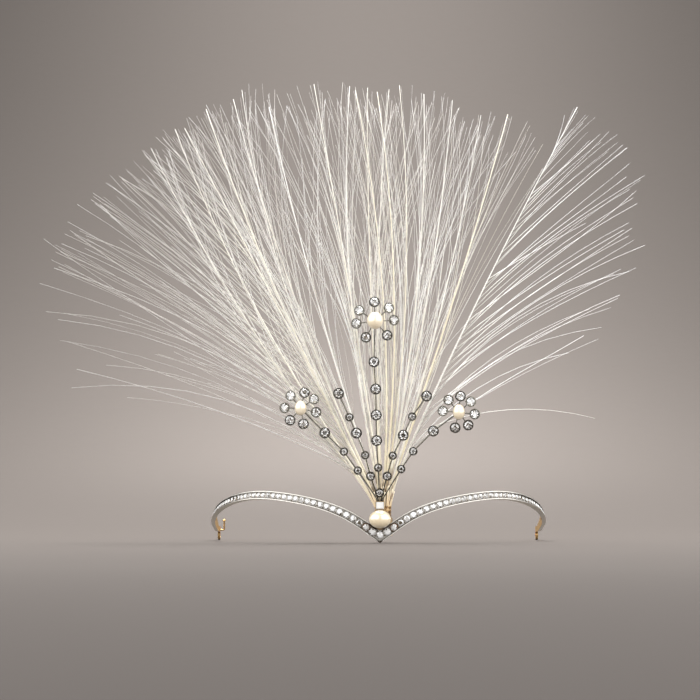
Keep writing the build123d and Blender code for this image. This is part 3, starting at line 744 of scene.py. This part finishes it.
SOCKET_WALL = 0.6 * MM
SOCKET_SHIFT = 1.4 * MM
SOCKET_HALF_DEPTH = 3.12 * MM
socket_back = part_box("socket")[1].y
pearl_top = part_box("button_pearl")[1].z
fan_root = Vector((SOCKET_SHIFT, socket_back - SOCKET_HALF_DEPTH, pearl_top + SOCKET_WALL))


def polar(turn, reach):
    """A point of a layer, across and up from the fan's root."""
    return np.array((reach * sin(radians(turn)), reach * cos(radians(turn))))


def quill_point(feather, share):
    """A point of a quill in its layer, at a share of its reach."""
    reach = feather.reach * PLUME_REACH
    bow = feather.bow * reach * 4 * share * (1 - share)
    return polar(feather.turn, reach * share) + polar(feather.turn + 90, bow)


def in_space(flat, layer, back=0.0):
    """Points of a layer in space, moved back from it as asked and spread to match."""
    flat = np.asarray(flat)
    behind = flat[:, 1] * tan(radians(LAYER_LEANS[layer])) + np.asarray(back)
    spread = 1 + LAYER_SPREAD * behind
    return np.stack(
        (fan_root.x + flat[:, 0] * spread, fan_root.y + behind, fan_root.z + flat[:, 1] * spread),
        axis=1,
    )


def start_reach(start):
    """How far out a barb's start lies, as a share of the plume's reach."""
    return float(np.hypot(*start)) / PLUME_REACH


def root_offset(feather):
    """Where a quill stands in the socket's oval, from its middle."""
    return np.array((
        ROOT_ACROSS * sin(radians(feather.turn * ROOT_FANNING)),
        ROOT_BACK * (2 * feather.layer / (len(LAYER_LEANS) - 1) - 1),
        0.0,
    ))


def quill_line(feather):
    """The middle line of a quill, from down in the socket to its tip."""
    shares = np.linspace(0, 1, QUILL_STEPS) ** QUILL_STEP_EASE
    line = in_space([quill_point(feather, share) for share in shares], feather.layer)
    gather = np.exp(-shares * feather.reach * PLUME_REACH / GATHER_LENGTH)
    line += gather[:, None] * root_offset(feather)
    foot = line[0] - np.array((0.0, 0.0, ROOT_DEPTH))
    return np.vstack((foot, line)), np.concatenate(([0.0], shares))


def barb_line(start, end, bow, curl):
    """A curve in a layer from start to end that bows to its right, with a tip that curls."""
    run = end - start
    side = np.array((run[1], -run[0]))
    shares = np.linspace(0, 1, BARB_STEPS)[:, None]
    return start + run * shares + side * (bow * 4 * shares * (1 - shares) + curl * shares ** 4)


def tube_rings(line, radii, sides, across):
    """Rings of corners along a line that never runs in the direction across."""
    tangent = np.gradient(line, axis=0)
    tangent /= np.linalg.norm(tangent, axis=1)[:, None]
    side = np.cross(tangent, across)
    side /= np.linalg.norm(side, axis=1)[:, None]
    other = np.cross(side, tangent)
    angles = 2 * pi * np.arange(sides) / sides
    ring_x = side[:, None, :] * np.cos(angles)[None, :, None]
    ring_y = other[:, None, :] * np.sin(angles)[None, :, None]
    return line[:, None, :] + radii[:, None, None] * (ring_x + ring_y)


# The middle line of a slim tube, how far up it each point is, its radii, how cream it is and
# how shaded
Hair = namedtuple("Hair", "line shares radii cream shade")


def hair_piece(name, hairs, sides, across=(0.0, 1.0, 0.0)):
    """One object of many hairs. Each corner carries its hair's colour and its share of it."""
    corners = []
    faces = []
    values = {"share": [], "cream": [], "shade": []}
    rows = []
    start = 0
    for count, hair in enumerate(hairs):
        rings = tube_rings(hair.line, hair.radii, sides, across)
        steps = len(rings)
        corners.append(rings.reshape(-1, 3))
        values["share"] += [share for share in hair.shares for _ in range(sides)]
        values["cream"] += [hair.cream] * (steps * sides)
        values["shade"] += [hair.shade] * (steps * sides)
        rows += [(count + 0.5) / len(hairs)] * (steps * sides)
        faces.append(tuple(start + k for k in range(sides)))
        faces.append(tuple(start + (steps - 1) * sides + k for k in reversed(range(sides))))
        for step in range(steps - 1):
            low = start + step * sides
            high = low + sides
            for k in range(sides):
                after = (k + 1) % sides
                faces.append((low + after, low + k, high + k, high + after))
        start += steps * sides
    mesh = bpy.data.meshes.new(name)
    mesh.from_pydata(np.vstack(corners).tolist(), [], faces)
    for label, numbers in values.items():
        mesh.attributes.new(label, "FLOAT", "POINT").data.foreach_set("value", numbers)
    corner_of = np.empty(len(mesh.loops), np.int32)
    mesh.loops.foreach_get("vertex_index", corner_of)
    flat_map = np.stack((np.array(rows)[corner_of], np.array(values["share"])[corner_of]), axis=1)
    mesh.uv_layers.new(name="OFBake").uv.foreach_set("vector", flat_map.astype(np.float32).ravel())
    mesh.shade_smooth()
    piece = bpy.data.objects.new(name, mesh)
    bpy.context.scene.collection.objects.link(piece)
    return piece


def quill_hairs():
    """The quills, stout at the root and finer at the tip."""
    grower = Random(11)
    hairs = []
    for feather in FEATHERS:
        line, shares = quill_line(feather)
        tip = QUILL_TIP_RADIUS * feather.girth
        radii = tip + (QUILL_RADIUS - tip) * (1 - shares) ** QUILL_TAPER
        hairs.append(Hair(line, shares, radii, feather.cream, grower.random()))
    return hairs


# One row for each short stem that was cut off beside the quills: how many millimetres to the
# viewer's right and to the back it stands in the socket, its height and its turn
Stub = namedtuple("Stub", "across back height turn")
STUBS = (
    Stub(0.6, -1.9, 7.5, 3), Stub(1.5, -1.7, 10.5, 7), Stub(2.3, -1.2, 9.0, 12),
    Stub(2.9, -0.5, 11.5, 10), Stub(3.1, 0.3, 8.0, 14), Stub(1.9, -0.3, 12.5, 6),
    Stub(-1.2, -1.9, 6.0, -9), Stub(-2.2, -1.4, 7.5, -14), Stub(-2.9, -0.4, 9.0, -17),
    Stub(0.1, -1.2, 10.0, 1), Stub(2.6, 1.0, 10.0, 9), Stub(-0.6, -1.5, 8.5, -5),
)
STUB_RADIUS = 0.5 * MM
STUB_BOW = 0.12
STUB_CREAM = 0.5
# The radii at a stem's four points and the share of a quill that each is coloured as
STUB_TAPER = (1.0, 1.0, 0.95, 0.7)
STUB_SHARES = (0.0, 0.0, 0.025, 0.05)


def stub_hairs():
    """The cut stems round the foot of the plume."""
    grower = Random(4)
    hairs = []
    for stub in STUBS:
        foot = np.array((fan_root.x + stub.across * MM, fan_root.y + stub.back * MM, fan_root.z))
        rise = stub.height * MM
        tip = foot + np.array((rise * tan(radians(stub.turn)), 0.0, rise))
        middle = (foot + tip) / 2 - np.array((STUB_BOW * rise * sin(radians(stub.turn)), 0, 0))
        low = foot - np.array((0, 0, ROOT_DEPTH / 2))
        line = np.array((low, foot, middle, tip))
        radii = STUB_RADIUS * np.array(STUB_TAPER)
        hairs.append(Hair(line, STUB_SHARES, radii, STUB_CREAM, grower.random()))
    return hairs


# How a barb may differ from the next: its place within its part of the row, and the shares that
# it gets of its full reach, when short and when not, of its bow, curl, girth and cream
PLACE_RANGE = (0.05, 0.95)
SHORT_REACH = (0.4, 0.97)
FULL_REACH = (0.95, 1.01)
BARB_BOW = 0.085
BOW_RANGE = (0.4, 1.3)
BOW_SCATTER = 0.012
BARB_CURL = 0.03
CURL_AT_TIP = 0.3
CURL_RANGE = (-0.4, 1.6)
GIRTH_AT_TIP = 0.5
GIRTH_RANGE = (0.6, 1.3)
CREAM_RANGE = (0.1, 0.8)
# In degrees, for the highest barb and more for the lowest one
TURN_SCATTER = 0.3
MORE_TURN_SCATTER = 1.2
# In millimetres in front of and behind its layer
BACK_RANGE = (-5.0, 5.0)
# The most painted shade on a barb of the front layer, and how much more it gets with each layer
FRONT_SHADE = 0.2
LAYER_SHADE = 0.17
STRAY_GIRTH = 0.9
STRAY_CREAM = 0.2
STRAY_SHADE = 0.3


def barb_radii(shares):
    """The radii of a plain barb at shares of its length."""
    return BARB_TIP_RADIUS + (BARB_RADIUS - BARB_TIP_RADIUS) * (1 - shares) ** BARB_TAPER


def barb_hair(feather, side, hand, part, grower):
    """A barb of one side of a feather, at a part of the way from the lowest to the tip."""
    open_share = 1 - part
    shares = np.linspace(0, 1, BARB_STEPS)
    foot = side.first + (LAST_BARB - side.first) * part ** side.crowding
    start = quill_point(feather, foot)
    turn = feather.turn + (side.turn - feather.turn) * open_share ** TURN_EASE
    turn += grower.gauss(0, TURN_SCATTER + MORE_TURN_SCATTER * open_share)
    reach = side.reach + (feather.reach - side.reach) * (1 - open_share ** GROWTH_EASE)
    if grower.random() < side.ragged:
        low = start_reach(start)
        reach = low + (reach - low) * grower.uniform(*SHORT_REACH)
    else:
        reach *= grower.uniform(*FULL_REACH)
    end = polar(turn, reach * PLUME_REACH)
    bow = hand * BARB_BOW * open_share * grower.uniform(*BOW_RANGE) + grower.gauss(0, BOW_SCATTER)
    curl = hand * BARB_CURL * (CURL_AT_TIP + open_share) * grower.uniform(*CURL_RANGE)
    back = shares * grower.uniform(*BACK_RANGE) * MM
    girth = feather.barb * (GIRTH_AT_TIP + (1 - GIRTH_AT_TIP) * open_share)
    girth *= grower.uniform(*GIRTH_RANGE)
    cream = feather.cream * grower.uniform(*CREAM_RANGE)
    shade = grower.random() ** 2 * (FRONT_SHADE + LAYER_SHADE * feather.layer)
    line = in_space(barb_line(start, end, bow, curl), feather.layer, back)
    return Hair(line, shares, barb_radii(shares) * girth, cream, shade)


def stray_hair(stray, grower):
    """A barb that strays from the fan."""
    shares = np.linspace(0, 1, BARB_STEPS)
    start = polar(stray.start_turn, stray.start_reach * PLUME_REACH)
    end = polar(stray.turn, stray.reach * PLUME_REACH)
    line = in_space(barb_line(start, end, stray.bow, 0.0), stray.layer)
    shade = grower.random() * STRAY_SHADE
    return Hair(line, shares, barb_radii(shares) * STRAY_GIRTH, STRAY_CREAM, shade)


def barb_hairs():
    """The barbs on both sides of every quill: long low ones, and shorter ones to the tip."""
    grower = Random(5)
    hairs = []
    for feather in FEATHERS:
        for side, hand in ((feather.left, 1), (feather.right, -1)):
            for k in range(side.count):
                part = (k + grower.uniform(*PLACE_RANGE)) / side.count
                hairs.append(barb_hair(feather, side, hand, part, grower))
    return hairs + [stray_hair(stray, grower) for stray in STRAYS]


# The binding: a waxed thread wound round the foot of the plume, just above the socket. Its
# foot and top are heights above the brow point
THREAD_RADIUS = 0.24 * MM
BINDING_HALF_WIDTH = 3.55 * MM
BINDING_HALF_DEPTH = 2.4 * MM
BINDING_FOOT = 11.4 * MM
BINDING_TOP = 16.4 * MM
BINDING_PITCH = 0.5 * MM
TURN_STEPS = 20
# How far the turns wander up and down and in and out, and how often, in waves per radian
WANDER_RISE = 0.12 * MM
WANDER_RISE_WAVES = 0.37
WANDER_OUT = 0.03
WANDER_OUT_WAVES = 0.23
THREAD_CREAM = 0.5


def binding_hair():
    """The thread, in turns that lie close together and not quite level."""
    winder = Random(8)
    turns = (BINDING_TOP - BINDING_FOOT) / BINDING_PITCH
    count = round(turns * TURN_STEPS)
    angles = np.linspace(0, 2 * pi * turns, count)
    rise = np.linspace(BINDING_FOOT, BINDING_TOP, count)
    rise += WANDER_RISE * np.sin(angles * WANDER_RISE_WAVES + 1)
    loose = 1 + WANDER_OUT * np.sin(angles * WANDER_OUT_WAVES)
    line = np.stack(
        (
            fan_root.x + BINDING_HALF_WIDTH * loose * np.cos(angles),
            fan_root.y + BINDING_HALF_DEPTH * loose * np.sin(angles),
            rise,
        ),
        axis=1,
    )
    shares = np.linspace(0, 1, count)
    radii = np.full(count, THREAD_RADIUS)
    return Hair(line, shares, radii, THREAD_CREAM, winder.random())


# Brown of the old sheath at the quills' feet, also of the painted shade between the quills there,
# and of the thread's shaded turns
SHEATH_AND_SHADE_BROWN = (0.13, 0.06, 0.02, 1)
# The colours of a golden quill and of a pale one, at shares of their length
GOLDEN_QUILL = (
    (0.0, (0.84, 0.62, 0.36, 1)),
    (0.04, (0.96, 0.82, 0.58, 1)),
    (0.09, (0.96, 0.86, 0.64, 1)),
    (0.18, (0.94, 0.84, 0.62, 1)),
    (0.42, (0.93, 0.85, 0.66, 1)),
    (0.85, (0.93, 0.88, 0.74, 1)),
)
PALE_QUILL = (
    (0.0, (0.84, 0.64, 0.40, 1)),
    (0.05, (0.97, 0.89, 0.72, 1)),
    (0.12, (0.96, 0.93, 0.84, 1)),
    (0.26, (0.93, 0.91, 0.86, 1)),
    (0.90, (0.93, 0.92, 0.89, 1)),
)
# The shares of a quill between which the brown and the painted shade fade out, and the step
# that makes blotches
SHEATH_FADE = (0.14, 0.03)
BLOTCH_STEP = (0.55, 0.6)
QUILL_STREAKS = 16.0
THREAD_STREAKS = 90.0
# Far enough apart in the noise for each hair to have streaks of its own
HAIR_APART = 91.0
WHITE_BARB = (0.94, 0.935, 0.925, 1)
CREAM_BARB = (0.92, 0.86, 0.70, 1)
SHADED_BARB = (0.60, 0.54, 0.49, 1)
# The foot of a barb is a little creamier: over how much of it, and by how much
CREAM_FOOT = (0.35, 0.0)
FOOT_CREAM = (0.0, 0.3)
THREAD_BROWN = (0.52, 0.33, 0.13, 1)


def attribute(tree, name):
    """A value that each corner of the mesh carries."""
    node = tree.nodes.new("ShaderNodeAttribute")
    node.attribute_name = name
    return node.outputs["Fac"]


def streaks(tree, along):
    """An uneven value along each hair, different from hair to hair."""
    place = tree.nodes.new("ShaderNodeCombineXYZ")
    own = math_node(tree, "MULTIPLY", attribute(tree, "shade"), HAIR_APART)
    length = math_node(tree, "MULTIPLY", attribute(tree, "share"), along)
    tree.links.new(own, place.inputs["X"])
    tree.links.new(length, place.inputs["Y"])
    noise = add_node(tree, "TexNoise", Scale=1.0, Detail=2.0)
    tree.links.new(place.outputs["Vector"], noise.inputs["Vector"])
    return noise.outputs["Fac"]


def colour_ramp(tree, value, stops):
    """A colour ramp with stops of (position, colour)."""
    ramp = tree.nodes.new("ShaderNodeValToRGB")
    ends = ramp.color_ramp.elements
    ends[0].position, ends[0].color = stops[0]
    ends[1].position, ends[1].color = stops[-1]
    for position, colour in stops[1:-1]:
        ramp.color_ramp.elements.new(position).color = colour
    tree.links.new(value, ramp.inputs["Fac"])
    return ramp.outputs["Color"]


def make_quill_material():
    """Horn of golden brown at the root, cream higher up and paler at the tip, with brown blotches
    and painted shade between the quills near the root.
    """
    material, tree, shader = new_material("quill")
    share = attribute(tree, "share")
    golden = colour_ramp(tree, share, GOLDEN_QUILL)
    pale = colour_ramp(tree, share, PALE_QUILL)
    colour = mix_colours(tree, attribute(tree, "cream"), pale, golden)
    low = map_range(tree, share, SHEATH_FADE)
    blotch = map_range(tree, streaks(tree, QUILL_STREAKS), BLOTCH_STEP)
    # Painted shade: darker where the quills stand close together, from how closed in each point is
    shade_between_quills = use_group(tree, recess_group, Reach=1.4 * MM, Open=0.8, Closed=0.35)
    brown_and_shade = math_node(tree, "MAXIMUM", blotch, shade_between_quills.outputs["Mask"])
    dark = mix_colours(tree, math_node(tree, "MULTIPLY", low, brown_and_shade), colour, SHEATH_AND_SHADE_BROWN)
    tree.links.new(dark, shader.inputs["Base Color"])
    shader.inputs["Roughness"].default_value = 0.38
    return material


def make_barb_material():
    """White barbs, cream on the cream feathers, greyed by painted shade, more at the back of the
    plume.
    """
    material, tree, shader = new_material("barbs")
    foot = map_range(tree, attribute(tree, "share"), CREAM_FOOT, FOOT_CREAM)
    cream = math_node(tree, "ADD", attribute(tree, "cream"), foot)
    colour = mix_colours(tree, cream, WHITE_BARB, CREAM_BARB)
    # Painted shade: barbs further back are painted greyer
    shaded = mix_colours(tree, attribute(tree, "shade"), colour, SHADED_BARB)
    tree.links.new(shaded, shader.inputs["Base Color"])
    shader.inputs["Roughness"].default_value = 0.5
    return material


def make_thread_material():
    """Waxed golden brown thread."""
    material, tree, shader = new_material("thread")
    share = map_range(tree, streaks(tree, THREAD_STREAKS), NOISE_MIDDLE)
    colour = mix_colours(tree, share, SHEATH_AND_SHADE_BROWN, THREAD_BROWN)
    tree.links.new(colour, shader.inputs["Base Color"])
    shader.inputs["Roughness"].default_value = 0.45
    return material


quills = hair_piece("plume_quills", quill_hairs() + stub_hairs(), QUILL_SIDES)
finish_piece(quills, make_quill_material(), ("plume",))
barbs = hair_piece("plume_barbs", barb_hairs(), BARB_SIDES)
finish_piece(barbs, make_barb_material(), ("plume",))
binding = hair_piece("plume_binding", [binding_hair()], QUILL_SIDES, (0.0, 0.0, 1.0))
finish_piece(binding, make_thread_material(), ("plume",))


# Ground, light and camera
# A taupe paper sheet that sweeps up behind, between two large upright soft panels. A strip
# lights the paper behind, so that it is palest in the middle. Painted shade darkens the paper
# towards the camera.

SHEET_HALF_WIDTH = 4.0
SHEET_FRONT = -3.0
SHEET_BEND = 0.3
SHEET_RADIUS = 3.0
SHEET_TOP = 4.0
SHEET_STEPS = 32
TAUPE = (0.137, 0.121, 0.110, 1)
PALE_TAUPE = (0.143, 0.126, 0.115, 1)
# Painted shade: the paper's colour nearest the camera
PAINTED_SHADE_TAUPE = (0.100, 0.086, 0.078, 1)
# Where painted shade starts on the sheet and where it is deepest, towards the camera
PAINTED_SHADE_FROM = (-0.45, -1.05)
WORLD_COLOUR = (0.82, 0.79, 0.76, 1)
WORLD_STRENGTH = 0.05
VIEW_FROM = Vector((-13.41, -1300.0, 20.65)) * MM
VIEW_RUN = Vector((0.0, 1300.0, 66.0))
VIEW_LENS = 148.8

# One row for each soft box: its place, the point that it faces, its width, height and power
SoftBox = namedtuple("SoftBox", "name place aim width height power")
SOFT_BOXES = (
    SoftBox("left panel", (-1.02, -0.64, 0.95), (0, 0, 0.95), 2.5, 1.85, 42.0),
    SoftBox("right panel", (1.02, -0.64, 0.95), (0, 0, 0.95), 2.5, 1.85, 42.0),
    SoftBox("overhead", (0.0, 0.30, 0.83), (0, 0.12, 0.01), 0.6, 0.6, 16.4),
    SoftBox("background strip", (0.0, 1.617, 0.85), (0, 2.152, 0.005), 0.106, 2.19, 12.9),
)


def make_sheet():
    """The ground and the backdrop in one curved sheet."""
    profile = [(SHEET_FRONT, 0.0), (SHEET_BEND, 0.0)]
    for k in range(1, SHEET_STEPS + 1):
        angle = radians(90 * k / SHEET_STEPS)
        back = SHEET_BEND + SHEET_RADIUS * sin(angle)
        profile.append((back, SHEET_RADIUS * (1 - cos(angle))))
    profile.append((SHEET_BEND + SHEET_RADIUS, SHEET_TOP))
    corners = [(x, y, z) for y, z in profile for x in (-SHEET_HALF_WIDTH, SHEET_HALF_WIDTH)]
    faces = [(2 * k, 2 * k + 1, 2 * k + 3, 2 * k + 2) for k in range(len(profile) - 1)]
    mesh = bpy.data.meshes.new("sheet")
    mesh.from_pydata(corners, [], faces)
    mesh.shade_smooth()
    sheet = bpy.data.objects.new("sheet", mesh)
    bpy.context.scene.collection.objects.link(sheet)
    material, tree, shader = new_material("taupe paper")
    fibres = add_node(tree, "TexNoise", Scale=900.0, Detail=2.0)
    colour = mix_colours(tree, fibres.outputs["Fac"], TAUPE, PALE_TAUPE)
    place = tree.nodes.new("ShaderNodeTexCoord")
    parted = tree.nodes.new("ShaderNodeSeparateXYZ")
    tree.links.new(place.outputs["Object"], parted.inputs["Vector"])
    # Painted shade: the paper is painted darker towards the camera
    near = map_range(tree, parted.outputs["Y"], PAINTED_SHADE_FROM)
    paper_with_painted_shade = mix_colours(tree, near, colour, PAINTED_SHADE_TAUPE)
    tree.links.new(paper_with_painted_shade, shader.inputs["Base Color"])
    shader.inputs["Roughness"].default_value = 0.9
    shader.inputs["Specular IOR Level"].default_value = 0.1
    mesh.materials.append(material)


def add_light(box):
    """A soft box that faces a point, unseen by the camera itself."""
    data = bpy.data.lights.new(box.name, "AREA")
    data.shape = "RECTANGLE"
    data.size = box.width
    data.size_y = box.height
    data.energy = box.power
    light = bpy.data.objects.new(box.name, data)
    light.location = box.place
    light.rotation_mode = "QUATERNION"
    light.rotation_quaternion = (Vector(box.place) - Vector(box.aim)).to_track_quat("Z", "Y")
    light.visible_camera = False
    bpy.context.scene.collection.objects.link(light)


make_sheet()
for soft_box in SOFT_BOXES:
    add_light(soft_box)

world = bpy.data.worlds.new("studio")
world.use_nodes = True
background = world.node_tree.nodes["Background"]
background.inputs["Color"].default_value = WORLD_COLOUR
background.inputs["Strength"].default_value = WORLD_STRENGTH
bpy.context.scene.world = world
bpy.context.scene.view_settings.view_transform = "Standard"

camera_data = bpy.data.cameras.new("camera")
camera_data.lens = VIEW_LENS
camera = bpy.data.objects.new("camera", camera_data)
camera.location = VIEW_FROM
camera.rotation_mode = "QUATERNION"
camera.rotation_quaternion = VIEW_RUN.to_track_quat("-Z", "Y")
bpy.context.scene.collection.objects.link(camera)
bpy.context.scene.camera = camera
